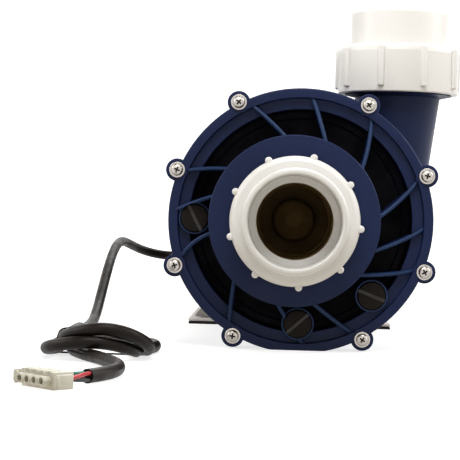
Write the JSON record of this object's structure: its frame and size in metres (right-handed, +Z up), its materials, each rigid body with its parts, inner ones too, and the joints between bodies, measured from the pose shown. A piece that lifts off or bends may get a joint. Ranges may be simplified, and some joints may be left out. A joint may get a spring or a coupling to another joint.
{
  "type": "pool pump",
  "caption": "Spa and pool circulation pump: ribbed round wet end, suction and discharge pipe unions, drain plugs, motor on a pressed foot and a bundled lead.",
  "frame": {"origin": "underside of the rubber mat, in the middle of the motor's foot, on the floor under the shaft", "axes": "+Z up, +Y from the suction towards the motor's back end, +X right seen from the suction"},
  "size_m": [0.276, 0.666, 0.2399],
  "materials": {
    "navy_plastic": "satin moulded navy plastic",
    "white_pvc": "smooth white PVC",
    "black_plastic": "matte black plastic",
    "seal_rubber": "matte black rubber",
    "stainless_steel": "bright stainless steel",
    "seal_ceramic": "polished ceramic",
    "foot_steel": "galvanised pressed steel",
    "motor_paint": "black enamel",
    "cast_metal": "cast metal",
    "winding_copper": "enamelled copper wire",
    "cord_jacket": "satin black cord jacket",
    "plug_nylon": "natural white nylon",
    "wire_red": "red wire insulation",
    "wire_green": "green wire insulation",
    "wire_white": "white wire insulation",
    "wire_black": "black wire insulation"
  },
  "bodies": {
    "pump": {"front_cover": "navy_plastic", "rear_casing": "navy_plastic", "capacitor": "black_plastic", "cord_tie": "black_plastic", "casing_gasket": "seal_rubber", "suction_oring": "seal_rubber", "discharge_oring": "seal_rubber", "foot_mat": "seal_rubber", "strain_relief": "seal_rubber", "cover_screw_1": "stainless_steel", "cover_screw_2": "stainless_steel", "cover_screw_3": "stainless_steel", "cover_screw_4": "stainless_steel", "cover_screw_5": "stainless_steel", "cover_screw_6": "stainless_steel", "cover_screw_7": "stainless_steel", "cover_screw_8": "stainless_steel", "wear_ring": "stainless_steel", "seal_seat": "seal_ceramic", "foot_base": "foot_steel", "front_bearing": "foot_steel", "rear_bearing": "foot_steel", "through_bolt_1": "foot_steel", "through_bolt_2": "foot_steel", "through_bolt_3": "foot_steel", "through_bolt_4": "foot_steel", "motor_shell": "motor_paint", "motor_canopy": "motor_paint", "front_end_bell": "cast_metal", "rear_end_bell": "cast_metal", "stator_core": "cast_metal", "front_winding": "winding_copper", "rear_winding": "winding_copper", "cord_lead": "cord_jacket", "cord_hank": "cord_jacket", "cord_tail": "cord_jacket", "plug_housing": "plug_nylon", "wire_red": "wire_red", "wire_green": "wire_green", "wire_white": "wire_white", "wire_black": "wire_black"},
    "rotor": {"shaft": "stainless_steel", "rotor_core": "cast_metal", "impeller": "black_plastic", "seal_head": "black_plastic", "seal_spring": "stainless_steel", "slinger": "seal_rubber", "cooling_fan": "black_plastic"},
    "suction_half": {"suction_tailpiece": "white_pvc"},
    "suction_union_nut": {"suction_nut": "white_pvc"},
    "discharge_half": {"discharge_tailpiece": "white_pvc"},
    "discharge_union_nut": {"discharge_nut": "white_pvc"},
    "drain_seal_1": {"drain_ring_1": "seal_rubber"},
    "drain_1": {"drain_plug_1": "black_plastic"},
    "drain_seal_2": {"drain_ring_2": "seal_rubber"},
    "drain_2": {"drain_plug_2": "black_plastic"},
    "drain_seal_3": {"drain_ring_3": "seal_rubber"},
    "drain_3": {"drain_plug_3": "black_plastic"}
  },
  "joints": [
    {"name": "rotor_spin", "type": "hinge", "parent": "pump", "child": "rotor", "pos_m": [0, 0, 0.0889], "axis": [0, 1, 0], "continuous": true},
    {"name": "suction_union_travel", "type": "slide", "parent": "pump", "child": "suction_half", "axis": [0, -1, 0], "range_m": [0, 0.0212]},
    {"name": "suction_nut_turn", "type": "hinge", "parent": "suction_half", "child": "suction_union_nut", "pos_m": [0, -0.325, 0.0889], "axis": [0, -1, 0], "range_deg": [0, 1800]},
    {"name": "discharge_union_travel", "type": "slide", "parent": "pump", "child": "discharge_half", "axis": [0, 0, 1], "range_m": [0, 0.0212]},
    {"name": "discharge_nut_turn", "type": "hinge", "parent": "discharge_half", "child": "discharge_union_nut", "pos_m": [0.0726, -0.232, 0.2], "axis": [0, 0, 1], "range_deg": [0, 1800]},
    {"name": "drain_travel_1", "type": "slide", "parent": "pump", "child": "drain_seal_1", "axis": [0, -1, 0], "range_m": [0, 0.0172]},
    {"name": "drain_plug_turn_1", "type": "hinge", "parent": "drain_seal_1", "child": "drain_1", "pos_m": [-0.0683, -0.295, 0.0889], "axis": [0, -1, 0], "range_deg": [0, 4320]},
    {"name": "drain_travel_2", "type": "slide", "parent": "pump", "child": "drain_seal_2", "axis": [0, -1, 0], "range_m": [0, 0.0172]},
    {"name": "drain_plug_turn_2", "type": "hinge", "parent": "drain_seal_2", "child": "drain_2", "pos_m": [0.0043, -0.295, 0.0182], "axis": [0, -1, 0], "range_deg": [0, 4320]},
    {"name": "drain_travel_3", "type": "slide", "parent": "pump", "child": "drain_seal_3", "axis": [0, -1, 0], "range_m": [0, 0.0172]},
    {"name": "drain_plug_turn_3", "type": "hinge", "parent": "drain_seal_3", "child": "drain_3", "pos_m": [0.05429, -0.295, 0.03891], "axis": [0, -1, 0], "range_deg": [0, 4320]}
  ],
  "couplings": [
    {"joint": "suction_union_travel", "follows": "suction_nut_turn", "m_per_rad": 0.0006737},
    {"joint": "discharge_union_travel", "follows": "discharge_nut_turn", "m_per_rad": 0.0006737},
    {"joint": "drain_travel_1", "follows": "drain_plug_turn_1", "m_per_rad": 0.00022457},
    {"joint": "drain_travel_2", "follows": "drain_plug_turn_2", "m_per_rad": 0.00022457},
    {"joint": "drain_travel_3", "follows": "drain_plug_turn_3", "m_per_rad": 0.00022457}
  ]
}
